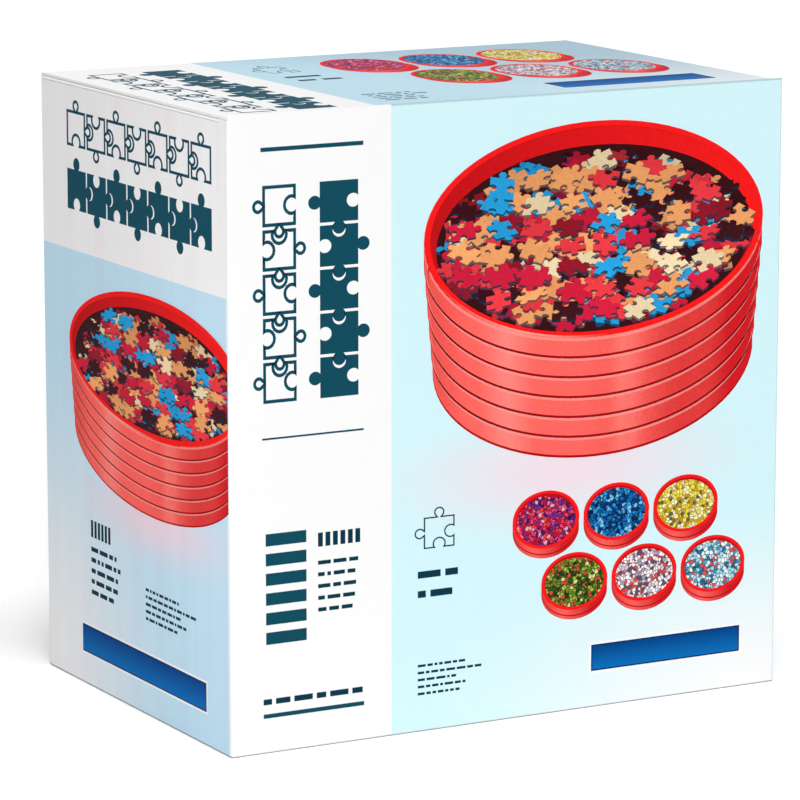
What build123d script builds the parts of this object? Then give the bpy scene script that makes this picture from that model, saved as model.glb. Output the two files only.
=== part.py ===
from build123d import *
import os
from math import cos, radians, sin

# Jigsaw sorter: six stacking trays shaped like jigsaw pieces, stood on edge in a folded board
# carton whose lid is hinged at the back and tucks in behind the front. The origin is the centre
# of the underside, +X is to the right of someone who faces the front, the front faces -Y and
# +Z is up. All lengths are in millimetres and all angles in degrees.

# Board of the carton, its folds and its creases
BOARD = 0.8
FOLD_INSIDE_RADIUS = 0.2
CREASE_RADIUS = 0.6
CREASE_GAP = 0.1

# Sorting tray, laid flat with its open side up
TRAY_COUNT = 6
TRAY_SIDE = 164.0
TRAY_HEIGHT = 21.2
TRAY_WALL = 1.6
TRAY_FLOOR = 1.6
TRAY_CORNER_RADIUS = 8.0
KNOB_RADIUS = 25.0
KNOB_REACH = 26.0
KNOB_BLEND_RADIUS = 5.0
SOCKET_GAP = 1.0
FOOT_HEIGHT = 3.0
FOOT_GAP = 0.4
RIM_RADIUS = 0.5
SIDE_TOLERANCE = 1e-4

# Room round the trays inside the carton
TRAY_GAP = 0.3
FLOOR_GAP = 0.3
SIDE_ROOM = 3.2
TOP_ROOM = 2.7
BACK_ROOM = 0.5

# Lid and the flap on its front edge
LID_DROP = 0.8
LID_SIDE_GAP = 0.3
LID_FRONT_GAP = 0.2
TUCK_LENGTH = 16.0
TUCK_LEAN = 7.5
TUCK_SIDE_GAP = 2.2
TUCK_GAP = 0.3
TUCK_CREASE_GAP = 0.2
TUCK_CORNER_RADIUS = 12.0

# Dust flaps on the side panels, under the lid and above the bottom
DUST_LENGTH = 62.0
DUST_LID_GAP = 0.2
DUST_FRONT_ROOM = 5.5
DUST_BACK_ROOM = 1.5
DUST_CORNER_RADIUS = 6.0
SHOULDER_GAP = 0.3
BOTTOM_GAP = 0.3
GLUE_FLAP_WIDTH = 15.0
GLUE_FLAP_TAPER = 6.0

# Places across the carton, front to back
tray_span = TRAY_SIDE + KNOB_REACH
width = tray_span + 2 * (SIDE_ROOM + BOARD)
tuck_room = BOARD * cos(radians(TUCK_LEAN)) + TUCK_LENGTH * sin(radians(TUCK_LEAN)) + TUCK_GAP
front_room = LID_FRONT_GAP + tuck_room
back_room = BOARD + BACK_ROOM
tray_pitch = TRAY_HEIGHT + TRAY_GAP
depth = 2 * BOARD + front_room + TRAY_COUNT * tray_pitch - TRAY_GAP + back_room
inner_width = width - 2 * BOARD
inner_depth = depth - 2 * BOARD
rim_y = front_room - inner_depth / 2
lid_front = LID_FRONT_GAP - inner_depth / 2

# Places up the carton, from the underside
tray_base = 3 * BOARD + FLOOR_GAP
dust_base = tray_base + tray_span + TOP_ROOM
dust_top = dust_base + BOARD
lid_base = dust_top + DUST_LID_GAP
lid_top = lid_base + BOARD
height = lid_top + LID_DROP


def mitred_strip(long_side, cross):
    """Plan of one wall, cut at 45 degrees through the folds at both its ends."""
    reach = 2 * BOARD
    end, edge = long_side / 2, -cross / 2
    with BuildSketch(mode=Mode.PRIVATE) as strip:
        Polygon(
            (-end, edge), (end, edge), (end - reach, edge + reach), (reach - end, edge + reach),
            align=None,
        )
    return strip.sketch


# The four walls are one strip of board, folded round and cut here at its folds
with BuildPart() as sleeve:
    with BuildSketch():
        RectangleRounded(width, depth, FOLD_INSIDE_RADIUS + BOARD)
        RectangleRounded(inner_width, inner_depth, FOLD_INSIDE_RADIUS, mode=Mode.SUBTRACT)
    extrude(amount=height)
    underside = sleeve.faces().sort_by(Axis.Z)[0]
    fillet(underside.outer_wire().edges(), CREASE_RADIUS)

# Front panel: its top edge is a free cut edge that stands a board's thickness above the lid
with BuildPart() as front_panel:
    add(sleeve.part)
    with BuildSketch():
        add(mitred_strip(width, depth))
    extrude(amount=height, mode=Mode.INTERSECT)
front_panel.part.label = "front_panel"

# Back panel: its top fold carries the lid
with BuildPart() as back_panel:
    add(sleeve.part)
    with BuildSketch():
        add(mitred_strip(width, depth), rotation=180)
    extrude(amount=lid_base - CREASE_GAP, mode=Mode.INTERSECT)
back_panel.part.label = "back_panel"

# Side panels: their top folds carry the upper dust flaps, and a low shoulder at each end of the
# fold closes the carton's corner under the lid
dust_front = DUST_FRONT_ROOM - inner_depth / 2
dust_rear = depth / 2 - DUST_BACK_ROOM

with BuildPart() as left_panel:
    add(sleeve.part)
    with BuildSketch():
        add(mitred_strip(depth, width), rotation=-90)
    extrude(amount=lid_base - CREASE_GAP, mode=Mode.INTERSECT)
    with BuildSketch(Plane.XY.offset(dust_base - CREASE_GAP)):
        with Locations((-width / 2, dust_front - SHOULDER_GAP)):
            Rectangle(
                2 * BOARD,
                dust_rear - dust_front + 2 * SHOULDER_GAP,
                align=(Align.CENTER, Align.MIN),
            )
    extrude(amount=lid_base - dust_base, mode=Mode.SUBTRACT)
left_panel.part.label = "left_panel"

with BuildPart() as right_panel:
    mirror(left_panel.part, about=Plane.YZ)
right_panel.part.label = "right_panel"

# Glue flap: the left panel's rear edge, turned in and glued to the inside of the back panel
with BuildPart() as glue_flap:
    glue_plane = Plane(origin=(-inner_width / 2, inner_depth / 2, 0), x_dir=(1, 0, 0), z_dir=(0, -1, 0))
    with BuildSketch(glue_plane):
        glue_bottom = 3 * BOARD + BOTTOM_GAP
        glue_top = dust_base - BOTTOM_GAP
        Polygon(
            (FOLD_INSIDE_RADIUS, glue_bottom),
            (GLUE_FLAP_WIDTH, glue_bottom + GLUE_FLAP_TAPER),
            (GLUE_FLAP_WIDTH, glue_top - GLUE_FLAP_TAPER),
            (FOLD_INSIDE_RADIUS, glue_top),
            align=None,
        )
    extrude(amount=BOARD)
glue_flap.part.label = "glue_flap"

# Bottom closure: two dust flaps, the inner panel from the back and the outer panel from the
# front, glued together in that order from the inside out
flap_width = inner_width - 2 * BOTTOM_GAP
flap_depth = inner_depth - BOTTOM_GAP

with BuildPart() as bottom_outer_panel:
    with BuildSketch():
        with Locations((0, -BOTTOM_GAP / 2)):
            Rectangle(flap_width, flap_depth)
    extrude(amount=BOARD)
bottom_outer_panel.part.label = "bottom_outer_panel"

with BuildPart() as bottom_inner_panel:
    with BuildSketch(Plane.XY.offset(BOARD)):
        with Locations((0, BOTTOM_GAP / 2)):
            Rectangle(flap_width, flap_depth)
    extrude(amount=BOARD)
bottom_inner_panel.part.label = "bottom_inner_panel"

with BuildPart() as bottom_dust_flap_left:
    with BuildSketch(Plane.XY.offset(2 * BOARD)) as bottom_dust_outline:
        with Locations((-inner_width / 2, 0)):
            Rectangle(DUST_LENGTH, inner_depth - 2 * BOTTOM_GAP, align=(Align.MIN, Align.CENTER))
        free_corners = bottom_dust_outline.vertices().group_by(Axis.X)[-1]
        fillet(free_corners, DUST_CORNER_RADIUS)
    extrude(amount=BOARD)
bottom_dust_flap_left.part.label = "bottom_dust_flap_left"

with BuildPart() as bottom_dust_flap_right:
    mirror(bottom_dust_flap_left.part, about=Plane.YZ)
bottom_dust_flap_right.part.label = "bottom_dust_flap_right"

# Upper dust flaps: hinged on the side panels' top folds, with their rear edge cut back at 45
# degrees, so that they stay under the lid while it swings up
with BuildPart() as top_dust_flap_left:
    with BuildSketch(Plane.XY.offset(dust_base)) as dust_outline:
        hinge_x, free_x = -width / 2, DUST_LENGTH - width / 2
        Polygon(
            (hinge_x, dust_front), (free_x, dust_front),
            (free_x, dust_rear - DUST_LENGTH), (hinge_x, dust_rear),
            align=None,
        )
        free_corners = dust_outline.vertices().group_by(Axis.X)[-1]
        fillet(free_corners, DUST_CORNER_RADIUS)
    extrude(amount=BOARD)
    fold = top_dust_flap_left.edges().filter_by(Axis.Y).group_by(Axis.X)[0].sort_by(Axis.Z)[-1]
    fillet(fold, CREASE_RADIUS)
top_dust_flap_left.part.label = "top_dust_flap_left"

with BuildPart() as top_dust_flap_right:
    mirror(top_dust_flap_left.part, about=Plane.YZ)
top_dust_flap_right.part.label = "top_dust_flap_right"

# Lid panel: hinged on the back panel's top fold, and a little narrower than the carton
with BuildPart() as lid_panel:
    with BuildSketch(Plane.XY.offset(lid_base)):
        with Locations((0, depth / 2)):
            Rectangle(width - 2 * LID_SIDE_GAP, depth / 2 - lid_front, align=(Align.CENTER, Align.MAX))
    extrude(amount=BOARD)
    fold = lid_panel.edges().filter_by(Axis.X).group_by(Axis.Y)[-1].sort_by(Axis.Z)[-1]
    fillet(fold, CREASE_RADIUS)
lid_panel.part.label = "lid_panel"

# Tuck flap: hangs from the lid's front edge and leans in behind the front panel
tuck_plane = Plane(
    origin=(0, lid_front, lid_top),
    x_dir=(1, 0, 0),
    z_dir=(0, -cos(radians(TUCK_LEAN)), -sin(radians(TUCK_LEAN))),
)
with BuildPart() as tuck_flap:
    with BuildSketch(tuck_plane) as tuck_outline:
        with Locations((0, -TUCK_LENGTH)):
            Rectangle(
                inner_width - 2 * TUCK_SIDE_GAP,
                TUCK_LENGTH - BOARD - TUCK_CREASE_GAP,
                align=(Align.CENTER, Align.MIN),
            )
        free_corners = tuck_outline.vertices().group_by(Axis.Y)[0]
        fillet(free_corners, TUCK_CORNER_RADIUS)
    extrude(amount=-BOARD)
tuck_flap.part.label = "tuck_flap"


def tray_outline(inset):
    """Jigsaw outline of a tray, centred on its square, drawn in evenly by inset.

    Knobs stand out on the left and far sides, and sockets that take the knobs of the trays
    beside it are let into the right and near sides.
    """
    half = TRAY_SIDE / 2
    knob_centre = half + KNOB_REACH - KNOB_RADIUS
    socket_centre = half - KNOB_REACH + KNOB_RADIUS
    widest = KNOB_RADIUS + SOCKET_GAP
    with BuildSketch(mode=Mode.PRIVATE) as outline:
        Rectangle(TRAY_SIDE, TRAY_SIDE)
        with Locations((-knob_centre, 0), (0, knob_centre)):
            Circle(KNOB_RADIUS)
        with Locations((socket_centre, 0), (0, -socket_centre)):
            Circle(widest, mode=Mode.SUBTRACT)
        corners = [v for v in outline.vertices() if min(abs(v.X), abs(v.Y)) > half - SIDE_TOLERANCE]
        fillet(corners, TRAY_CORNER_RADIUS)
        on_sides = [
            v for v in outline.vertices()
            if abs(max(abs(v.X), abs(v.Y)) - half) < SIDE_TOLERANCE
        ]
        roots = [v for v in on_sides if min(abs(v.X), abs(v.Y)) < widest + SIDE_TOLERANCE]
        fillet(roots, KNOB_BLEND_RADIUS)
        if inset:
            offset(amount=-inset, mode=Mode.REPLACE)
    return outline.sketch


# Sorting tray: a thin-walled dish whose foot is drawn in, so that it drops into the rim of the
# tray below when they are stacked
foot_inset = TRAY_WALL + FOOT_GAP
rim_outline = tray_outline(0)
dish_outline = tray_outline(TRAY_WALL)
foot_outline = tray_outline(foot_inset)
well_outline = tray_outline(foot_inset + TRAY_WALL)
ledge = FOOT_HEIGHT + TRAY_FLOOR

with BuildPart() as sorting_tray:
    with BuildSketch(Plane.XY.offset(FOOT_HEIGHT)):
        add(rim_outline)
    extrude(amount=TRAY_HEIGHT - FOOT_HEIGHT)
    with BuildSketch():
        add(foot_outline)
    extrude(amount=FOOT_HEIGHT)
    with BuildSketch(Plane.XY.offset(ledge)):
        add(dish_outline)
    extrude(amount=TRAY_HEIGHT - ledge, mode=Mode.SUBTRACT)
    with BuildSketch(Plane.XY.offset(TRAY_FLOOR)):
        add(well_outline)
    extrude(amount=ledge - TRAY_FLOOR, mode=Mode.SUBTRACT)
    rim = sorting_tray.faces().sort_by(Axis.Z)[-1]
    fillet(rim.outer_wire().edges(), RIM_RADIUS)

# The trays stand on the side with the near socket, open side to the front, one behind another
tray_centre_x = KNOB_REACH / 2
tray_centre_z = tray_base + TRAY_SIDE / 2
trays = []
for place in range(TRAY_COUNT):
    base_y = rim_y + TRAY_HEIGHT + place * tray_pitch
    tray_plane = Plane(
        origin=(tray_centre_x, base_y, tray_centre_z), x_dir=(1, 0, 0), z_dir=(0, -1, 0)
    )
    with BuildPart() as tray:
        add(tray_plane.location * sorting_tray.part)
    tray.part.label = f"tray_{place + 1}"
    trays.append(tray)

# One file for each piece
carton = [
    front_panel, back_panel, left_panel, right_panel, glue_flap,
    bottom_outer_panel, bottom_inner_panel, bottom_dust_flap_left, bottom_dust_flap_right,
    top_dust_flap_left, top_dust_flap_right, lid_panel, tuck_flap,
]
os.makedirs("parts", exist_ok=True)
for piece in carton + trays:
    export_step(piece.part, f"parts/{piece.part.label}.step")

print("carton", round(width, 2), round(depth, 2), round(height, 2))
print("lid hinge", round(depth / 2, 3), round(lid_top, 3), "tuck hinge", round(lid_front, 3))
print("dust hinge", round(width / 2, 3), round(dust_top, 3), "tray rim", round(rim_y, 3))
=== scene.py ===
import bmesh
import bpy
import random
from math import asin, atan2, cos, hypot, pi, radians, sqrt, tau
from mathutils import Matrix, Vector


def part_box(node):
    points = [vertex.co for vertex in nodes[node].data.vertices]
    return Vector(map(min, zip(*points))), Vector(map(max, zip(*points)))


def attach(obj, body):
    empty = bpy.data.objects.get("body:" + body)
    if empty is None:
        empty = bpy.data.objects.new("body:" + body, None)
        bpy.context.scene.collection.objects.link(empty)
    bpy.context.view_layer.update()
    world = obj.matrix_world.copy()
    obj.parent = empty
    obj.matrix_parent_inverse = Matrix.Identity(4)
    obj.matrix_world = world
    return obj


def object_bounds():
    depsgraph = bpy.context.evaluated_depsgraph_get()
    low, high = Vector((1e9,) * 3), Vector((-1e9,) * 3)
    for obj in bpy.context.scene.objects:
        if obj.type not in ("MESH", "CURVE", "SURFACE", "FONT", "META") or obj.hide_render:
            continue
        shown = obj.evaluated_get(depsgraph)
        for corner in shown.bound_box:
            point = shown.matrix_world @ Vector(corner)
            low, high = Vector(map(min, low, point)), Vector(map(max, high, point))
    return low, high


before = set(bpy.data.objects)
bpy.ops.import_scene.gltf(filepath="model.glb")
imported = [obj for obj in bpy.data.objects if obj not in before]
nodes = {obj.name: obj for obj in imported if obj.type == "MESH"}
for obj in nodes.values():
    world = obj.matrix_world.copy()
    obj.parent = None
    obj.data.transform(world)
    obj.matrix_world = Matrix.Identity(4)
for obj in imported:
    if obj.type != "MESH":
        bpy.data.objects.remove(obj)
cad_low, cad_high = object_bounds()

# Carton walls: one sheet of folding board, 0.8 mm thick, printed and satin varnished outside,
# creased, folded into a sleeve and glued at the rear left. The bare board shows inside and along
# its cut edges, which carry a painted shade beside the ink.
MM = 0.001
WIDTH, DEPTH, HEIGHT = ((cad_high - cad_low) / MM)[:]
LID_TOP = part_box("lid_panel")[1].z
PAPER_WHITE = (0.93, 0.93, 0.93)
FRONT_GROUND = (0.64, 0.895, 0.94)
SIDE_GROUND = (0.555, 0.79, 0.93)
BLUSH = (0.92, 0.69, 0.76)
BARE_BOARD, BARE_FIBRE, FLECK = (0.76, 0.745, 0.71), (0.83, 0.82, 0.79), (0.42, 0.38, 0.33)
# The second cut edge colour is a painted shade: the cut edge drawn darker and bluer beside the ink.
CUT_EDGE, SHADED_CUT_EDGE = (0.88, 0.88, 0.88), (0.41, 0.56, 0.61)
# The fold colour below is a painted highlight along rounded folds, and the foot colour a painted
# contact shadow along the foot of the walls.
FOLD_HIGHLIGHT, FOOT_SHADE = (0.86, 0.92, 0.95), (0.16, 0.165, 0.18)
WARM_STREAK, NO_TINT = (1.0, 0.962, 0.972), (1.0, 1.0, 1.0)
STREAKS_RUN, FIBRES_RUN = (1.0, 0.06, 1.0), (1.0, 0.22, 1.0)
WHITE_BAND = 55.7
BAND_BLUR = 0.08
BLUSH_STRENGTH = 0.85
VARNISH_GLOSS = 0.015
BOARD_RELIEF = 0.00002


def print_frame(corner, right, up):
    """Matrix from a print's own millimetres (right, up, out of the board) to the carton."""
    right, up = Vector(right), Vector(up)
    turn = Matrix((right, up, right.cross(up))).transposed().to_4x4()
    return Matrix.Translation(corner) @ turn @ Matrix.Scale(MM, 4)


FRONT = print_frame((cad_low.x, cad_low.y, cad_high.z), (1, 0, 0), (0, 0, 1))
LEFT = print_frame((cad_low.x, cad_high.y, cad_high.z), (0, -1, 0), (0, 0, 1))
RIGHT = print_frame((cad_high.x, cad_low.y, cad_high.z), (0, 1, 0), (0, 0, 1))
BACK = print_frame((cad_high.x, cad_high.y, cad_high.z), (-1, 0, 0), (0, 0, 1))
TOP = print_frame((cad_low.x, cad_high.y, LID_TOP), (1, 0, 0), (0, 1, 0))


def put(tree, socket, value):
    """Feeds a shader socket from another socket, or sets it to a plain value."""
    if isinstance(value, bpy.types.NodeSocket):
        tree.links.new(value, socket)
    elif hasattr(value, "__len__") and len(value) == 3 and len(socket.default_value) == 4:
        socket.default_value = (*value, 1)
    else:
        socket.default_value = value


def maths(tree, operation, *values):
    node = tree.nodes.new("ShaderNodeMath")
    node.operation = operation
    for socket, value in zip(node.inputs, values):
        put(tree, socket, value)
    return node.outputs[0]


def vector_maths(tree, operation, output, *values):
    node = tree.nodes.new("ShaderNodeVectorMath")
    node.operation = operation
    for socket, value in zip(node.inputs, values):
        put(tree, socket, value)
    return node.outputs[output]


def blend(first, second, share):
    share = min(1.0, max(0.0, share))
    return tuple(a + (b - a) * share for a, b in zip(first, second))


def ramp(tree, value, low, high):
    """0 below low, 1 above high, and a smooth rise between them."""
    node = tree.nodes.new("ShaderNodeMapRange")
    node.interpolation_type = "SMOOTHSTEP"
    for socket, number in zip(node.inputs, (value, low, high)):
        put(tree, socket, number)
    return node.outputs[0]


def mix(tree, share, first, second):
    node = tree.nodes.new("ShaderNodeMix")
    node.data_type = "RGBA"
    for socket, value in zip((node.inputs[0], node.inputs[6], node.inputs[7]), (share, first, second)):
        put(tree, socket, value)
    return node.outputs[2]


def noise(tree, where, scale, detail=2.0):
    node = tree.nodes.new("ShaderNodeTexNoise")
    put(tree, node.inputs["Vector"], where)
    put(tree, node.inputs["Scale"], scale)
    put(tree, node.inputs["Detail"], detail)
    return node.outputs[0]


def bump(tree, height, metres):
    node = tree.nodes.new("ShaderNodeBump")
    put(tree, node.inputs["Distance"], metres)
    put(tree, node.inputs["Height"], height)
    return node.outputs[0]


def board_place(tree, face):
    """The point on the board in the print's own millimetres, as x, y and the whole vector."""
    place = tree.nodes.new("ShaderNodeMapping")
    place.vector_type = "TEXTURE"
    put(tree, place.inputs["Location"], face.to_translation())
    put(tree, place.inputs["Rotation"], face.to_euler())
    put(tree, place.inputs["Scale"], face.to_scale())
    put(tree, place.inputs["Vector"], tree.nodes.new("ShaderNodeTexCoord").outputs["Object"])
    split = tree.nodes.new("ShaderNodeSeparateXYZ")
    put(tree, split.inputs[0], place.outputs[0])
    return split.outputs[0], split.outputs[1], place.outputs[0]


def near(tree, x, y, centre, radii):
    """1 in the middle of an ellipse on the print and 0 at its edge and outside it."""
    across = maths(tree, "DIVIDE", maths(tree, "SUBTRACT", x, centre[0]), radii[0])
    along = maths(tree, "DIVIDE", maths(tree, "ADD", y, centre[1]), radii[1])
    reach = maths(tree, "SQRT", maths(tree, "ADD", maths(tree, "MULTIPLY", across, across),
                                      maths(tree, "MULTIPLY", along, along)))
    return ramp(tree, maths(tree, "SUBTRACT", 1.0, reach), 0.0, 1.0)


def printed_board(name, face, outward, ground, band, fade, blush=None, edges=(), tone=None):
    """Folding board: ink and satin varnish on the side that faces outward, bare elsewhere.

    The ground colour has a white band along one side and fades to white at one corner, and a
    soft red reflection lies below the picture. A tone is a second ground colour that the first
    runs into along a line of the print. Along each edge, a fold or cut, the ink carries a painted
    shade, darker by the given share, or a painted highlight, paler, where the share is negative.
    Beside the ink the cut edges carry a painted shade, and the walls a painted contact shadow
    along their foot.
    """
    material = bpy.data.materials.new(name)
    material.use_nodes = True
    tree = material.node_tree
    shader = tree.nodes["Principled BSDF"]
    x, y, place = board_place(tree, face)

    if tone:
        along = vector_maths(tree, "DOT_PRODUCT", 1, place, tone[1])
        ground = mix(tree, ramp(tree, along, *tone[2]), ground, tone[0])
    colour = mix(tree, near(tree, x, y, *fade), ground, PAPER_WHITE)
    if blush:
        reflection = maths(tree, "MULTIPLY", near(tree, x, y, *blush), BLUSH_STRENGTH)
        colour = mix(tree, reflection, colour, BLUSH)
    edge, inked = CUT_EDGE, 1.0
    if band:
        along = x if band[0] == "x" else maths(tree, "MULTIPLY", y, -1.0)
        inked = ramp(tree, along, band[1] - BAND_BLUR, band[1] + BAND_BLUR)
        colour = mix(tree, inked, PAPER_WHITE, colour)
        # Beside the ink the cut edge takes a painted shade.
        edge = mix(tree, inked, CUT_EDGE, SHADED_CUT_EDGE)

    grain = noise(tree, place, 2.2, 3.0)
    tint = maths(tree, "ADD", 0.97, maths(tree, "MULTIPLY", grain, 0.05))
    # Painted shade along folds and cut edges of the ink, or a painted highlight along rounded folds
    # where the share is negative.
    for axis, line, width, share in edges:
        off = maths(tree, "ABSOLUTE", maths(tree, "SUBTRACT", x if axis == "x" else y, line))
        strip = maths(tree, "SUBTRACT", 1.0, ramp(tree, off, 0.4 * width, width))
        if share < 0:
            colour = mix(tree, maths(tree, "MULTIPLY", strip, -share), colour, FOLD_HIGHLIGHT)
        else:
            edge_shade = maths(tree, "MULTIPLY", maths(tree, "MULTIPLY", strip, inked), share)
            tint = maths(tree, "MULTIPLY", tint, maths(tree, "SUBTRACT", 1.0, edge_shade))
    if face is not TOP:
        # Painted contact shadow: a dark line along the foot of each wall, paler on the front and back.
        foot_shade_mask = ramp(tree, maths(tree, "ADD", y, HEIGHT), 0.30, 0.62)
        foot_shade_colour = blend(FOOT_SHADE, PAPER_WHITE, 0.45 if face in (FRONT, BACK) else 0.0)
        colour = mix(tree, foot_shade_mask, foot_shade_colour, colour)
        if face in (LEFT, RIGHT):
            drawn_out = vector_maths(tree, "MULTIPLY", 0, place, STREAKS_RUN)
            streaks = ramp(tree, noise(tree, drawn_out, 0.11, 2.0), 0.35, 0.65)
            streaked = mix(tree, streaks, WARM_STREAK, NO_TINT)
            colour = vector_maths(tree, "MULTIPLY", 0, colour, streaked)
    printed = vector_maths(tree, "SCALE", 0, colour)
    put(tree, printed.node.inputs["Scale"], tint)

    stretched = vector_maths(tree, "MULTIPLY", 0, place, FIBRES_RUN)
    fibre = noise(tree, stretched, 1.6, 5.0)
    flecks = ramp(tree, noise(tree, stretched, 3.5, 2.0), 0.66, 0.74)
    bare = mix(tree, fibre, BARE_BOARD, BARE_FIBRE)
    bare = mix(tree, maths(tree, "MULTIPLY", flecks, 0.35), bare, FLECK)

    normal = tree.nodes.new("ShaderNodeTexCoord").outputs["Normal"]
    wall = outward[0] or outward[1]
    inward = (-outward[0], -outward[1], 0 if wall else -outward[2])
    inside = ramp(tree, vector_maths(tree, "DOT_PRODUCT", 1, normal, inward), 0.3, 0.4)
    outside = ramp(tree, vector_maths(tree, "DOT_PRODUCT", 1, normal, outward), 0.3, 0.4)
    colour = mix(tree, outside, mix(tree, inside, edge, bare), printed)
    put(tree, shader.inputs["Base Color"], colour)
    varnish = maths(tree, "ADD", 0.52, maths(tree, "MULTIPLY", grain, 0.12))
    rough = maths(tree, "MULTIPLY", maths(tree, "SUBTRACT", 1.0, outside), 0.35)
    put(tree, shader.inputs["Roughness"], maths(tree, "ADD", varnish, rough))
    shader.inputs["Specular IOR Level"].default_value = VARNISH_GLOSS
    waves = maths(tree, "MULTIPLY", noise(tree, place, 0.035, 1.0), 6.0)
    fine = maths(tree, "ADD", maths(tree, "MULTIPLY", grain, 0.12), fibre)
    put(tree, shader.inputs["Normal"], bump(tree, maths(tree, "ADD", waves, fine), BOARD_RELIEF))
    return material


def finish_node(node, material):
    for slot in nodes[node].material_slots:
        slot.material = material


front_fade, front_blush = ((WIDTH, HEIGHT), (150, 66)), ((119, 119), (79, 26))
side_fade, side_blush = (105, 115), ((82, 134), (70, 18))
# Painted shade along the top edge and right-hand fold of the front and back; on the sides a painted
# highlight along the right-hand fold and a faint painted shade along the left-hand one.
front_edge_shading = (("y", 0.0, 0.7, 0.28), ("x", WIDTH, 0.75, 0.16))
side_edge_light_and_shade = (("x", DEPTH, 2.6, -0.85), ("x", 0.0, 1.4, 0.07))
finish_node("front_panel", printed_board(
    "front_board", FRONT, (0, -1, -1), FRONT_GROUND, ("x", WHITE_BAND),
    front_fade, front_blush, front_edge_shading))
finish_node("left_panel", printed_board(
    "left_board", LEFT, (-1, 0, -1), SIDE_GROUND, ("y", WHITE_BAND),
    ((0, HEIGHT), side_fade), side_blush, side_edge_light_and_shade))
finish_node("right_panel", printed_board(
    "right_board", RIGHT, (1, 0, -1), SIDE_GROUND, ("y", WHITE_BAND),
    ((DEPTH, HEIGHT), side_fade), side_blush, side_edge_light_and_shade))
finish_node("back_panel", printed_board(
    "back_board", BACK, (0, 1, -1), FRONT_GROUND, ("x", WHITE_BAND),
    front_fade, front_blush, front_edge_shading))

# Lid panel and its tuck flap: the same board, creased along the back panel's top and again along
# the lid's front edge. The print runs over the lid with its white band on the left.
LID_GROUND, LID_REAR = (0.53, 0.735, 0.845), (0.40, 0.555, 0.645)
LID_BAND = WHITE_BAND - 2.0
finish_node("lid_panel", printed_board(
    "lid_board", TOP, (0, 0, 1), LID_GROUND, ("x", LID_BAND),
    ((WIDTH + 30, DEPTH + 40), (150, 150)), tone=(LID_REAR, (1 / 120, 1 / 160, 0), (0.25, 1.25))))
finish_node("tuck_flap", printed_board(
    "tuck_board", FRONT, (0, -1, 0), FRONT_GROUND, ("x", WHITE_BAND), front_fade))

# Upper dust flaps, glued bottom and glue flap: the same board. The dust flaps and the glue flap are
# plain white outside. The bottom is two panels over two dust flaps, in the front's ground colour.
flap_fade = (WIDTH, DEPTH), (170, 110)
flap_board = printed_board("flap_board", TOP, (0, 0, 1), PAPER_WHITE, None, flap_fade)
for flap in ("top_dust_flap_left", "top_dust_flap_right"):
    finish_node(flap, flap_board)
bottom_board = printed_board("bottom_board", TOP, (0, 0, -1), FRONT_GROUND, None, flap_fade)
for panel in ("bottom_outer_panel", "bottom_inner_panel", "bottom_dust_flap_left",
              "bottom_dust_flap_right"):
    finish_node(panel, bottom_board)
finish_node("glue_flap", printed_board(
    "glue_board", BACK, (0, 1, 0), PAPER_WHITE, None, front_fade))

# Line work on the front and back: flat ink, laid on the board as thin films. Three rules, a column
# of jigsaw pieces in outline beside a column of solid ones, a stack of six bars, short bars where
# small print would stand, and a blue bar. Lengths are in the print's own millimetres.
LEVEL = 0.008
INK_THICKNESS = 0.000003
INK_RELIEF = 0.000003
TRAY_COUNT = 6
KNOB, NECK = 0.17, 0.11
PIECE_GAP = 0.9
SIGN_STROKE = 0.045
TEAL, DARK_TEAL = (0.0065, 0.070, 0.107), (0.004, 0.040, 0.065)
BLUE_LINE, DEEP_BLUE, BLUE = (0.001, 0.022, 0.11), (0.0015, 0.055, 0.23), (0.004, 0.15, 0.47)
BLUE_MARGIN, BLUE_INSET = 0.7, 1.15
SHORTEST_DASH, LONGEST_DASH, DASH_SPACE = 1.0, 4.2, 0.75
COUNT_BAR, COUNT_PITCH = 1.7, 2.6
chance = random.Random(6)


def new_film():
    film = bmesh.new()
    film.loops.layers.float_color.new("ink")
    return film


def paint(film, faces, colour):
    """Inks the faces in one colour, or in a colour worked out from each corner's place."""
    layer = film.loops.layers.float_color["ink"]
    for face in faces:
        for loop in face.loops:
            loop[layer] = (*(colour(loop.vert.co) if callable(colour) else colour), 1)


def on_print(centre, size, level=1):
    """Matrix that takes a shape one unit across to its place, size and level on the print."""
    return Matrix.Translation((centre[0], -centre[1], level * LEVEL)) @ Matrix.Diagonal((*size, 1, 1))


def faces_at(verts):
    """The faces that meet at the vertices, each once."""
    return list(dict.fromkeys(face for vert in verts for face in vert.link_faces))


def bar(film, x, down, width, height, colour, level=1):
    place = on_print((x + width / 2, down + height / 2), (width, height), level)
    made = bmesh.ops.create_grid(film, x_segments=1, y_segments=1, size=0.5, matrix=place)
    paint(film, faces_at(made["verts"]), colour)


def blue_bar(film, x, down, width, height):
    """A plain blue bar with a white margin and a dark outline, deeper blue towards its top."""
    for inset, level, colour in ((0.0, 1, PAPER_WHITE), (BLUE_MARGIN, 2, BLUE_LINE)):
        bar(film, x + inset, down + inset, width - 2 * inset, height - 2 * inset, colour, level)

    def shade(co):
        return DEEP_BLUE if co.y > -down - height / 2 else BLUE

    inner_size = width - 2 * BLUE_INSET, height - 2 * BLUE_INSET
    bar(film, x + BLUE_INSET, down + BLUE_INSET, *inner_size, shade, 3)


def dashes(film, x, down, length, height):
    """A row of short bars of uneven length, where a line of small print would stand."""
    start = 0.0
    while start < length - height:
        run = min(length - start, height * chance.uniform(SHORTEST_DASH, LONGEST_DASH))
        bar(film, x + start, down, run, height, DARK_TEAL)
        start += run + DASH_SPACE * height


def small_print(film, x, down, pitch, height, lengths):
    """Rows of dashes at an even pitch down the print, one row for each length."""
    for place, length in enumerate(lengths):
        dashes(film, x, down + pitch * place, length, height)


def count_bars(film, x, down, height):
    """A row of short upright bars, one for each tray."""
    for place in range(TRAY_COUNT):
        bar(film, x + COUNT_PITCH * place, down, COUNT_BAR, height, DARK_TEAL)


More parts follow.
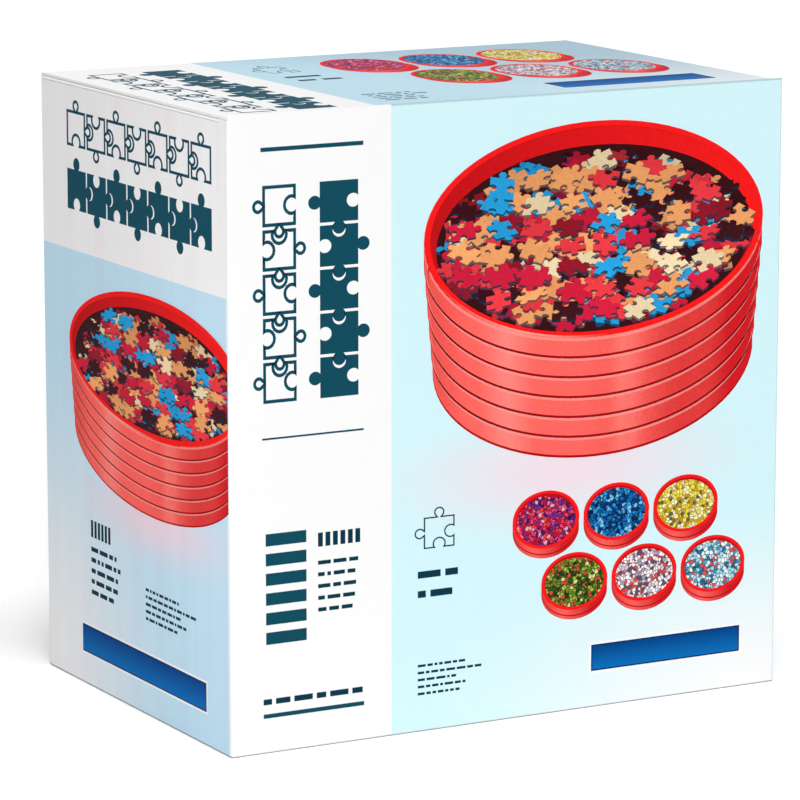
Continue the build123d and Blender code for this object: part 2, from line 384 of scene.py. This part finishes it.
def jigsaw(sides, steps=8, stroke=0.0):
    """A flat jigsaw piece one unit square. A side is +1 with a knob, -1 with a socket, 0 straight.

    The sides run from the near one to the right, the far and the left one. A stroke leaves only
    a line of that width along the outline.
    """
    shape = bmesh.new()
    last = shape.verts.new((-0.5, -0.5, 0))
    rise = sqrt(KNOB ** 2 - NECK ** 2)
    for side in sides:
        if side:
            last = bmesh.ops.extrude_vert_indiv(shape, verts=[last])["verts"][0]
            last.co = (-NECK, -0.5, 0)
            arc = bmesh.ops.spin(
                shape, geom=[last], cent=(0, -0.5 - side * rise, 0), axis=(0, 0, 1),
                angle=side * (tau - 2 * asin(NECK / KNOB)), steps=steps)
            last = arc["geom_last"][0]
        last = bmesh.ops.extrude_vert_indiv(shape, verts=[last])["verts"][0]
        last.co = (0.5, -0.5, 0)
        bmesh.ops.rotate(shape, verts=shape.verts, matrix=Matrix.Rotation(-pi / 2, 3, "Z"))
    bmesh.ops.remove_doubles(shape, verts=shape.verts, dist=1e-4)
    bmesh.ops.contextual_create(shape, geom=shape.edges)
    if stroke:
        middle = shape.faces[:]
        bmesh.ops.inset_region(
            shape, faces=middle, thickness=stroke, use_boundary=True, use_even_offset=True)
        bmesh.ops.delete(shape, geom=middle, context="FACES")
    mesh = bpy.data.meshes.new("jigsaw_shape")
    shape.to_mesh(mesh)
    shape.free()
    return mesh


def add_shape(film, shape):
    """Adds a shape to a film and returns its faces."""
    before = set(film.faces)
    film.from_mesh(shape)
    return [face for face in film.faces if face not in before]


def set_down(film, faces, place, colour):
    """Moves faces to their place on the print and inks them."""
    verts = list(dict.fromkeys(vert for face in faces for vert in face.verts))
    bmesh.ops.transform(film, matrix=place, verts=verts)
    paint(film, faces, colour)


def chain(film, x, down, length, size, count, colour, stroke=0.0, upright=False):
    """A row of interlocked jigsaw pieces along the print, or a column of them down it."""
    pitch = length / count
    for place in range(count):
        across = (1, -1) if place % 2 else (-1, 1)
        ahead = 1 if place < count - 1 else 0
        behind = -1 if place else 0
        middle = (place + 0.5) * pitch
        if upright:
            shape = jigsaw((ahead, across[0], behind, across[1]), 12, stroke)
            centre, scale = (x + size / 2, down + middle), (size, pitch - PIECE_GAP)
        else:
            shape = jigsaw((across[0], ahead, across[1], behind), 12, stroke)
            centre, scale = (x + middle, down + size / 2), (pitch - PIECE_GAP, size)
        set_down(film, add_shape(film, shape), on_print(centre, scale), colour)


def piece_sign(film, centre, size):
    """One jigsaw piece in thin outline."""
    shape = jigsaw((-1, -1, 1, 1), 12, SIGN_STROKE)
    set_down(film, add_shape(film, shape), on_print(centre, size), DARK_TEAL)


def stack_of_bars(film, x, down, width, height):
    """Plain bars one above another, one for each tray."""
    pitch = height / TRAY_COUNT
    for place in range(TRAY_COUNT):
        bar(film, x, down + place * pitch, width, 0.62 * pitch, TEAL)


def printing_ink(name, mottle=0.05, scale=2.2):
    """Offset ink under satin varnish, in the film's own colours, with a faint mottle."""
    material = bpy.data.materials.new(name)
    material.use_nodes = True
    tree = material.node_tree
    shader = tree.nodes["Principled BSDF"]
    own = tree.nodes.new("ShaderNodeAttribute")
    own.attribute_name = "ink"
    place = vector_maths(tree, "SCALE", 0, tree.nodes.new("ShaderNodeTexCoord").outputs["Object"])
    put(tree, place.node.inputs["Scale"], 1 / MM)
    grain = noise(tree, place, scale, 3.0)
    share = maths(tree, "MULTIPLY", maths(tree, "SUBTRACT", grain, 0.5), 2 * mottle)
    tinted = vector_maths(tree, "SCALE", 0, own.outputs["Color"])
    put(tree, tinted.node.inputs["Scale"], maths(tree, "ADD", 1.0, share))
    put(tree, shader.inputs["Base Color"], tinted)
    rough = maths(tree, "ADD", 0.48, maths(tree, "MULTIPLY", grain, 0.12))
    put(tree, shader.inputs["Roughness"], rough)
    put(tree, shader.inputs["Normal"], bump(tree, grain, INK_RELIEF))
    shader.inputs["Specular IOR Level"].default_value = VARNISH_GLOSS
    return material


line_ink = printing_ink("line_ink")
picture_ink = printing_ink("picture_ink", 0.18, 1.4)


def lay_print(film, name, face, body, inks, cut=None):
    """Trims a film at the board's fold, gives it its thickness and fixes it to its body."""
    if cut:
        bmesh.ops.bisect_plane(
            film, geom=film.verts[:] + film.edges[:] + film.faces[:], dist=1e-6,
            plane_co=(cut, 0, 0), plane_no=(1, 0, 0), clear_outer=True)
    film.normal_update()
    bmesh.ops.reverse_faces(film, faces=[f for f in film.faces if f.normal.z < 0])
    film.transform(face)
    mesh = bpy.data.meshes.new(name)
    film.to_mesh(mesh)
    film.free()
    for ink in inks:
        mesh.materials.append(ink)
    piece = bpy.data.objects.new(name, mesh)
    bpy.context.scene.collection.objects.link(piece)
    thickness = piece.modifiers.new("thickness", "SOLIDIFY")
    thickness.thickness = INK_THICKNESS
    thickness.offset = -1
    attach(piece, body)


def front_line_work(name, face):
    film = new_film()
    for down, height in ((10.4, 1.3), (99.2, 0.6), (185.5, 1.35)):
        bar(film, 11.0, down, 35.0, height, TEAL)
    chain(film, 11.5, 21.5, 67.5, 11.4, 5, TEAL, 0.085, upright=True)
    chain(film, 31.0, 21.5, 67.5, 13.2, 5, TEAL, upright=True)
    stack_of_bars(film, 12.0, 129.0, 14.0, 37.0)
    count_bars(film, 30.0, 130.4, 4.4)
    small_print(film, 30.0, 139.2, 3.7, 1.25, (14.0, 13.0, 13.5, 14.0, 12.0))
    dashes(film, 11.0, 180.8, 34.5, 1.8)
    piece_sign(film, (72.6, 134.6), (11.0, 10.0))
    small_print(film, 65.0, 146.6, 6.2, 2.2, (15.5, 15.5))
    small_print(film, 65.0, 176.4, 2.25, 0.8, (17.0, 23.0, 14.5, 18.0, 15.0))
    blue_bar(film, 127.5, 176.8, 57.5, 10.0)
    lay_print(film, name, face, "carton", [line_ink])


front_line_work("front_line_work", FRONT)
front_line_work("back_line_work", BACK)

# Picture on the front: a round ribbed red bowl, heaped with loose jigsaw pieces and seen from a
# little above. It is offset ink on the board, and each shape in it is a film of its own.
CORAL, DEEP_CORAL, LIP = (1.0, 0.135, 0.115), (0.62, 0.012, 0.018), (1.0, 0.34, 0.30)
SEAM_RED, RIM_RED = (0.40, 0.004, 0.008), (0.93, 0.012, 0.012)
INNER_RED, SHADOW = (0.50, 0.006, 0.010), (0.035, 0.006, 0.008)
CUT_BLUE = (0.006, 0.05, 0.11)
PIECE_COLOURS = (
    [(0.90, 0.38, 0.14)] * 7 + [(0.66, 0.015, 0.05)] * 5 + [(0.84, 0.045, 0.06)] * 5
    + [(0.023, 0.36, 0.74)] * 4 + [(0.045, 0.007, 0.010)] * 6 + [(0.90, 0.72, 0.44)] * 3
    + [(0.30, 0.010, 0.022)] * 3)
PIECE_SIDES = (
    (1, -1, 1, -1), (1, 1, -1, -1), (-1, -1, 1, 1), (1, 1, 1, -1), (-1, -1, -1, 1), (1, -1, -1, 1))
BOWL_REACH, BOWL_TILT, RIB = 62.0, 0.55, 0.108
HEAP_LAYERS, HEAP_PIECE = 8, 0.142
FRONT_BOWL = 129.0, 43.5


def extrude_line(film, verts):
    """Extrudes the edges between the vertices, and returns the new vertices."""
    edges = list(dict.fromkeys(edge for vert in verts for edge in vert.link_edges))
    made = bmesh.ops.extrude_edge_only(film, edges=edges)["geom"]
    return [item for item in made if isinstance(item, bmesh.types.BMVert)]


def arc_ribbon(film, centre, radii, start, end, drop, height, colour, level, steps=40):
    """A strip along part of an ellipse, as the wall of a round bowl is seen from above."""
    line = bmesh.ops.create_circle(film, segments=2 * steps, radius=1)["verts"]
    kept = [vert for vert in line if start - 0.01 <= atan2(vert.co.y, vert.co.x) % tau <= end + 0.01]
    bmesh.ops.delete(film, geom=[vert for vert in line if vert not in kept], context="VERTS")
    place = on_print((centre[0], centre[1] + drop), radii, level)
    bmesh.ops.transform(film, matrix=place, verts=kept)
    lower = extrude_line(film, kept)
    bmesh.ops.translate(film, verts=lower, vec=(0, -height, 0))
    paint(film, faces_at(lower), colour)


def disc(film, centre, radii, colour, level, ink=0, segments=64):
    place = on_print(centre, radii, level)
    made = bmesh.ops.create_circle(film, cap_ends=True, segments=segments, radius=1, matrix=place)
    faces = faces_at(made["verts"])
    for face in faces:
        face.material_index = ink
    paint(film, faces, colour)


def ring(film, centre, radii, width, colour, level, segments=72):
    """A flat rim between two ellipses."""
    place = on_print(centre, radii, level)
    made = bmesh.ops.create_circle(film, segments=segments, radius=1, matrix=place)["verts"]
    inner = extrude_line(film, made)
    shrink = (1 - width / radii[0], 1 - width * 0.75 / radii[1], 1)
    about_centre = Matrix.Translation((-centre[0], centre[1], 0))
    bmesh.ops.scale(film, verts=inner, vec=shrink, space=about_centre)
    paint(film, faces_at(inner), colour)


def heap(film, centre, radii, size, squeeze, level, seed):
    """Layers of loose jigsaw pieces strewn over an ellipse, each with its cut edge below it."""
    strewn = random.Random(seed)
    shapes = [add_shape(film, jigsaw(sides, 5)) for sides in PIECE_SIDES]
    step_x, step_y = 1.45 * size, 1.45 * size * BOWL_TILT * squeeze
    columns, rows = int(radii[0] / step_x) + 1, int(radii[1] / step_y) + 1
    count = 0
    for layer in range(HEAP_LAYERS):
        shift = strewn.uniform(0, 1), strewn.uniform(0, 1)
        for row in range(-rows, rows + 1):
            for column in range(-columns, columns + 1):
                x = (column + shift[0] + strewn.uniform(-0.16, 0.16)) * step_x
                y = (row + shift[1] + strewn.uniform(-0.16, 0.16)) * step_y
                if hypot(x / (radii[0] - 0.45 * size), y / (radii[1] - 0.48 * size * squeeze)) > 1:
                    continue
                count += 1
                lean = strewn.uniform(0.40, 0.74) * squeeze
                turned = Matrix.Rotation(strewn.uniform(0, tau), 4, "Z")
                leaned = Matrix.Diagonal((size, lean * size, 1, 1)) @ turned
                own = Matrix.Rotation(strewn.uniform(-0.25, 0.25), 4, "Z") @ leaned
                height = (level + layer + 0.08 * (count % 5)) * LEVEL
                light = 0.62 + 0.38 * (layer + 1) / HEAP_LAYERS - 0.22 * max(0.0, y / radii[1])
                light *= strewn.uniform(0.88, 1.08)
                colour = tuple(light * part for part in strewn.choice(PIECE_COLOURS))
                edge = blend(tuple(0.30 * part for part in colour), CUT_BLUE, 0.45)
                shape = strewn.choice(shapes)
                cut_side = 0.085 * size * squeeze, 0.5 * LEVEL, edge
                for drop, below, ink in (cut_side, (0, 0, colour)):
                    at = centre[0] + x, -centre[1] + y - drop, height - below
                    place = Matrix.Translation(at)
                    copy = bmesh.ops.duplicate(film, geom=shape)["geom"]
                    faces = [item for item in copy if isinstance(item, bmesh.types.BMFace)]
                    set_down(film, faces, place @ own, ink)
    bmesh.ops.delete(film, geom=[face for shape in shapes for face in shape], context="FACES")


def bowl(film, centre, squeeze, seed):
    """The bowl: six stacked ribs, the far inner wall, the heap and the rim round it."""
    reach = BOWL_REACH
    radii = reach, reach * BOWL_TILT * squeeze
    rib = RIB * reach * squeeze

    def side(co):
        across = (co.x - centre[0]) / reach
        glow = 0.5 + 0.5 * cos(2.2 * (across + 0.35)) - 0.16 * (0.5 + 0.5 * cos(14 * across))
        wide_shine = max(0.0, 1 - abs(across + 0.52) / 0.16)
        narrow_shine = max(0.0, 1 - abs(across - 0.18) / 0.10)
        shine = wide_shine + 0.7 * narrow_shine
        return blend(blend(DEEP_CORAL, CORAL, 1.3 * glow), LIP, 0.55 * shine)

    def lip(co):
        return blend(side(co), LIP, 0.6)

    def far_wall(co):
        return blend(INNER_RED, RIM_RED, 0.5 + 0.5 * (co.x - centre[0]) / reach)

    for place in range(TRAY_COUNT):
        shrink = 1 - 0.010 * place
        rib_radii = radii[0] * shrink, radii[1] * shrink
        drop = place * rib
        level = 1 + 0.2 * (TRAY_COUNT - 1 - place)
        arc_ribbon(film, centre, rib_radii, pi, tau, drop, 1.02 * rib, side, level)
        arc_ribbon(film, centre, rib_radii, pi, tau, drop + 0.03 * rib, 0.16 * rib, lip, 2.4)
        arc_ribbon(film, centre, rib_radii, pi, tau, drop + 0.90 * rib, 0.11 * rib, SEAM_RED, 2.4)
    disc(film, centre, (radii[0] - 0.5, radii[1] - 0.3), INNER_RED, 3)
    wall_radii = radii[0] - 1.5, radii[1] - 1.0
    arc_ribbon(film, centre, wall_radii, 0, pi, 0, 0.20 * reach * squeeze, far_wall, 3.6)
    inner = centre[0], centre[1] + 0.05 * reach * squeeze
    heap_radii = radii[0] * 0.93, radii[1] * 0.87
    disc(film, inner, heap_radii, SHADOW, 4.4)
    heap(film, inner, heap_radii, HEAP_PIECE * reach, squeeze, 5.6, seed)
    ring(film, centre, radii, 0.036 * reach, RIM_RED, HEAP_LAYERS + 6.2)

    def glint(co):
        return blend(RIM_RED, LIP, 1.15 - abs((co.x - centre[0]) / reach + 0.42) / 0.42)

    glint_radii = radii[0] * 0.985, radii[1] * 0.985
    arc_ribbon(film, centre, glint_radii, 1.1 * pi, 1.62 * pi, 0,
               0.010 * reach, glint, HEAP_LAYERS + 6.6)


film = new_film()
bowl(film, FRONT_BOWL, 1.0, 11)
lay_print(film, "front_picture", FRONT, "carton", [picture_ink])

# Six dishes on the front, below the large picture: round, red and in two staggered rows, each
# full of tiny pieces sorted by colour. The tiny pieces are a fine mosaic of mixed inks.
DISH_COLOURS = {
    "red": ("C2183A", "E2447A", "7A2C86", "F04030", "F2A0B0", "3A2060"),
    "blue": ("1470B8", "2E9ADA", "0B3A78", "7CC4EA", "18558C", "0E2A50"),
    "yellow": ("F0DC50", "F6F0B0", "C8A028", "F2F2EA", "5A5A40", "E8C838"),
    "green": ("6A8A2A", "9CB43C", "35551C", "C8503A", "D8D890", "2A3A20"),
    "white": ("E8E8EE", "FFFFFF", "9AA0B4", "4A5468", "C4C8D8", "D85050"),
    "pale_blue": ("A8D8E8", "DDF2F6", "4AA0C0", "E05050", "F4F4F0", "2E6A88"),
}
MOSAIC_SCALE = 900.0
MOSAIC_STOPS = (0.0, 0.26, 0.46, 0.64, 0.80, 0.91)
DISH_STEPS = 24
NEUTRAL = (0.5, 0.5, 0.5)
FRONT_DISHES = 99.0, 125.5, 86.0, 42.0


def ink_colour(code):
    """The linear colour of a six-figure screen colour."""
    parts = [int(code[place:place + 2], 16) / 255 for place in (0, 2, 4)]
    return tuple(part / 12.92 if part < 0.04 else ((part + 0.055) / 1.055) ** 2.4 for part in parts)


def mosaic_ink(name, codes):
    """Tiny jigsaw pieces printed in mixed inks of one family, with dark gaps between them."""
    material = bpy.data.materials.new("mosaic_" + name)
    material.use_nodes = True
    tree = material.node_tree
    shader = tree.nodes["Principled BSDF"]
    where = tree.nodes.new("ShaderNodeTexCoord").outputs["Object"]
    cells = tree.nodes.new("ShaderNodeTexVoronoi")
    put(tree, cells.inputs["Vector"], where)
    put(tree, cells.inputs["Scale"], MOSAIC_SCALE)
    gaps = tree.nodes.new("ShaderNodeTexVoronoi")
    gaps.feature = "DISTANCE_TO_EDGE"
    put(tree, gaps.inputs["Vector"], where)
    put(tree, gaps.inputs["Scale"], MOSAIC_SCALE)
    pick = tree.nodes.new("ShaderNodeValToRGB")
    pick.color_ramp.interpolation = "CONSTANT"
    red = tree.nodes.new("ShaderNodeSeparateColor")
    put(tree, red.inputs[0], cells.outputs["Color"])
    put(tree, pick.inputs[0], red.outputs[0])
    points = pick.color_ramp.elements
    while len(points) < len(codes):
        points.new(0.5)
    for place, (stop, code) in enumerate(zip(MOSAIC_STOPS, codes)):
        points[place].position = stop
        points[place].color = (*ink_colour(code), 1)
    dark = tuple(0.35 * part for part in ink_colour(codes[-1]))
    inside_piece = ramp(tree, gaps.outputs[0], 0.02, 0.12)
    put(tree, shader.inputs["Base Color"], mix(tree, inside_piece, dark, pick.outputs[0]))
    shader.inputs["Roughness"].default_value = 0.5
    shader.inputs["Specular IOR Level"].default_value = VARNISH_GLOSS
    return material


mosaics = [mosaic_ink(name, codes) for name, codes in DISH_COLOURS.items()]


def dish(film, centre, radii, wall, ink):
    """A round dish: its near wall, its dark inside, its contents and its rim."""
    def side(co):
        return blend(DEEP_CORAL, CORAL, 0.9 - 1.1 * abs((co.x - centre[0]) / radii[0] + 0.35))

    arc_ribbon(film, centre, radii, pi, tau, 0, wall, side, 1, DISH_STEPS)
    seam = 0.55 * wall, 0.12 * wall
    arc_ribbon(film, centre, radii, pi, tau, *seam, SEAM_RED, 1.6, DISH_STEPS)
    disc(film, centre, (radii[0] - 0.2, radii[1] - 0.2), INNER_RED, 2)
    contents = radii[0] - 1.5, radii[1] - 1.4
    disc(film, (centre[0], centre[1] + 0.35), contents, NEUTRAL, 3, ink)
    ring(film, centre, radii, 1.25, RIM_RED, 4, 2 * DISH_STEPS)


def six_dishes(name, face, body, left, top, width, height):
    """Two staggered rows of three dishes inside the given space."""
    film = new_film()
    radii = 0.142 * width, 0.222 * height
    wall = 0.075 * height
    for place in range(TRAY_COUNT):
        row, column = divmod(place, 3)
        centre_x = left + radii[0] + column * 0.302 * width + row * 0.123 * width
        centre_down = top + radii[1] + row * 0.50 * height
        dish(film, (centre_x, centre_down), radii, wall, place + 1)
    lay_print(film, name, face, body, [line_ink] + mosaics)


six_dishes("front_dishes", FRONT, "carton", *FRONT_DISHES)

# Print on the two sides: the same title place and small lines, set wider, and the same picture,
# drawn lower. The picture runs off the front fold on the left side and the rear fold on the right.
SIDE_BOWL = 82.0, 85.0
SIDE_SQUEEZE = 0.66
FOLD_MARGIN = 1.1


def side_print(name, face):
    film = new_film()
    chain(film, 19.5, 10.5, 105.0, 11.6, 7, TEAL, 0.08)
    chain(film, 19.5, 29.5, 105.0, 13.0, 7, TEAL)
    count_bars(film, 34.5, 142.4, 5.6)
    small_print(film, 34.5, 151.2, 3.55, 1.5, (21.0, 22.0, 22.5, 21.0, 18.0))
    small_print(film, 75.0, 156.6, 2.35, 0.95, (25.0, 36.0, 25.0, 29.0, 24.0))
    blue_bar(film, 26.5, 177.4, 92.0, 10.6)
    lay_print(film, name + "_line_work", face, "carton", [line_ink])
    film = new_film()
    bowl(film, SIDE_BOWL, SIDE_SQUEEZE, 5)
    lay_print(film, name + "_picture", face, "carton", [picture_ink], DEPTH - FOLD_MARGIN)


side_print("left", LEFT)
side_print("right", RIGHT)

# Picture and dishes on the back: the front's own layout again, in the same inks. The back's line
# work is laid down together with the front's.
film = new_film()
bowl(film, FRONT_BOWL, 1.0, 11)
lay_print(film, "back_picture", BACK, "carton", [picture_ink])
six_dishes("back_dishes", BACK, "carton", *FRONT_DISHES)

# Print on the lid: the title place down its white band, the six dishes and small lines, in the same
# inks. It is fixed to the lid and swings with it.
film = new_film()
chain(film, 9.5, 15.5, 111.0, 12.0, 7, TEAL, 0.08, upright=True)
chain(film, 28.5, 15.5, 111.0, 13.5, 7, TEAL, upright=True)
piece_sign(film, (69.5, 32.0), (10.5, 15.5))
small_print(film, 62.5, 50.0, 9.5, 3.2, (15.5, 15.5))
small_print(film, 62.5, 102.5, 3.9, 1.4, (17.0, 22.0, 14.5, 18.0, 15.0))
blue_bar(film, 126.5, 103.0, 58.0, 16.0)
lay_print(film, "lid_line_work", TOP, "lid", [line_ink])
six_dishes("lid_dishes", TOP, "lid", 88.0, 14.5, 98.0, 80.0)

# Sorting trays: red polystyrene, injection moulded in one piece, glossy with a faint moulding
# haze. They stand on edge in the carton with their open sides to the front.
TRAY_RED = (0.62, 0.010, 0.014)
PLASTIC_IOR = 1.58
HAZE_RELIEF = 0.00006


def moulded_plastic(name, colour):
    material = bpy.data.materials.new(name)
    material.use_nodes = True
    tree = material.node_tree
    shader = tree.nodes["Principled BSDF"]
    where = tree.nodes.new("ShaderNodeTexCoord").outputs["Object"]
    haze = noise(tree, where, 45.0, 3.0)
    deep = tuple(0.86 * part for part in colour)
    put(tree, shader.inputs["Base Color"], mix(tree, haze, deep, colour))
    scuffs = ramp(tree, noise(tree, where, 900.0, 4.0), 0.58, 0.72)
    dull = maths(tree, "MULTIPLY", haze, 0.14)
    rough = maths(tree, "ADD", dull, maths(tree, "MULTIPLY", scuffs, 0.10))
    put(tree, shader.inputs["Roughness"], rough)
    shader.inputs["IOR"].default_value = PLASTIC_IOR
    put(tree, shader.inputs["Normal"], bump(tree, haze, HAZE_RELIEF))
    return material


tray_plastic = moulded_plastic("tray_red", TRAY_RED)
for node in nodes:
    if node.startswith("tray_"):
        finish_node(node, tray_plastic)

# Studio: a plain white floor under a white sky, a soft lamp high over the front, a lower one at
# the front left, and a tall strip light beside the front edge of the left wall.
FLOOR_SIDE = 30.0
SKY_LEVEL, FLOOR_GLOW = 0.38, 0.11
FLOOR_SEEN, FLOOR_BOUNCE = (0.95, 0.95, 0.95), (0.62, 0.62, 0.62)
LAMPS = {
    "high_lamp": ((-0.06, -0.31, 0.95), 1.58, 24),
    "front_lamp": ((-0.39, -0.87, 0.31), 1.27, 16),
}
STRIP_SIZE, STRIP_PLACE, STRIP_POWER = (0.05, 0.28), (-0.21, -0.09, 0.085), 0.058

floor_mesh = bmesh.new()
bmesh.ops.create_grid(floor_mesh, x_segments=1, y_segments=1, size=FLOOR_SIDE / 2)
floor_data = bpy.data.meshes.new("floor")
floor_mesh.to_mesh(floor_data)
floor_mesh.free()
floor = bpy.data.objects.new("floor", floor_data)
bpy.context.scene.collection.objects.link(floor)
floor_paper = bpy.data.materials.new("floor_paper")
floor_paper.use_nodes = True
floor_tree = floor_paper.node_tree
floor_shader = floor_tree.nodes["Principled BSDF"]
floor_shader.inputs["Roughness"].default_value = 0.9
floor_shader.inputs["Emission Color"].default_value = (1, 1, 1, 1)
floor_rays = floor_tree.nodes.new("ShaderNodeLightPath").outputs
seen = maths(floor_tree, "MAXIMUM", floor_rays["Is Camera Ray"], floor_rays["Is Glossy Ray"])
put(floor_tree, floor_shader.inputs["Base Color"], mix(floor_tree, seen, FLOOR_BOUNCE, FLOOR_SEEN))
put(floor_tree, floor_shader.inputs["Emission Strength"],
    maths(floor_tree, "MULTIPLY", seen, FLOOR_GLOW))
floor_data.materials.append(floor_paper)

world = bpy.data.worlds.new("studio")
world.use_nodes = True
bpy.context.scene.world = world
sky_tree = world.node_tree
sky = sky_tree.nodes["Background"]
sky.inputs["Color"].default_value = (1, 1, 1, 1)
sky_rays = sky_tree.nodes.new("ShaderNodeLightPath").outputs
mirrored = maths(sky_tree, "MAXIMUM", sky_rays["Is Glossy Ray"], sky_rays["Is Transmission Ray"])
sky_seen = maths(sky_tree, "MAXIMUM", sky_rays["Is Camera Ray"], mirrored)
added = maths(sky_tree, "MULTIPLY", sky_seen, 1.0 - SKY_LEVEL)
put(sky_tree, sky.inputs["Strength"], maths(sky_tree, "ADD", SKY_LEVEL, added))

for name, (stands, strength, spread) in LAMPS.items():
    lamp = bpy.data.lights.new(name, "SUN")
    lamp.energy = strength
    lamp.angle = radians(spread)
    lamp_object = bpy.data.objects.new(name, lamp)
    lamp_object.rotation_euler = Vector(stands).to_track_quat("Z", "Y").to_euler()
    bpy.context.scene.collection.objects.link(lamp_object)

strip = bpy.data.lights.new("strip_light", "AREA")
strip.shape = "RECTANGLE"
strip.size, strip.size_y = STRIP_SIZE
strip.energy = STRIP_POWER
strip_object = bpy.data.objects.new("strip_light", strip)
strip_object.location = STRIP_PLACE
strip_object.rotation_euler = Vector((-1, 0, 0)).to_track_quat("Z", "Y").to_euler()
strip_object.visible_camera = False
bpy.context.scene.collection.objects.link(strip_object)

# Camera: a long lens in front of the carton, to its left and a little above. Its place and turn are
# fitted to the carton's corners, so that it looks from the photograph's angle.
LENS = 201.75
CAMERA_PLACE = (-0.6928, -1.2552, 0.3658)
LOOKS_DOWN, LOOKS_RIGHT = 10.837, 28.783
camera_data = bpy.data.cameras.new("camera")
camera_data.sensor_width = 36.0
camera_data.lens = LENS
camera = bpy.data.objects.new("camera", camera_data)
camera.location = CAMERA_PLACE
camera.rotation_euler = (radians(90 - LOOKS_DOWN), 0, radians(-LOOKS_RIGHT))
bpy.context.scene.collection.objects.link(camera)
bpy.context.scene.camera = camera
bpy.context.scene.view_settings.view_transform = "Standard"
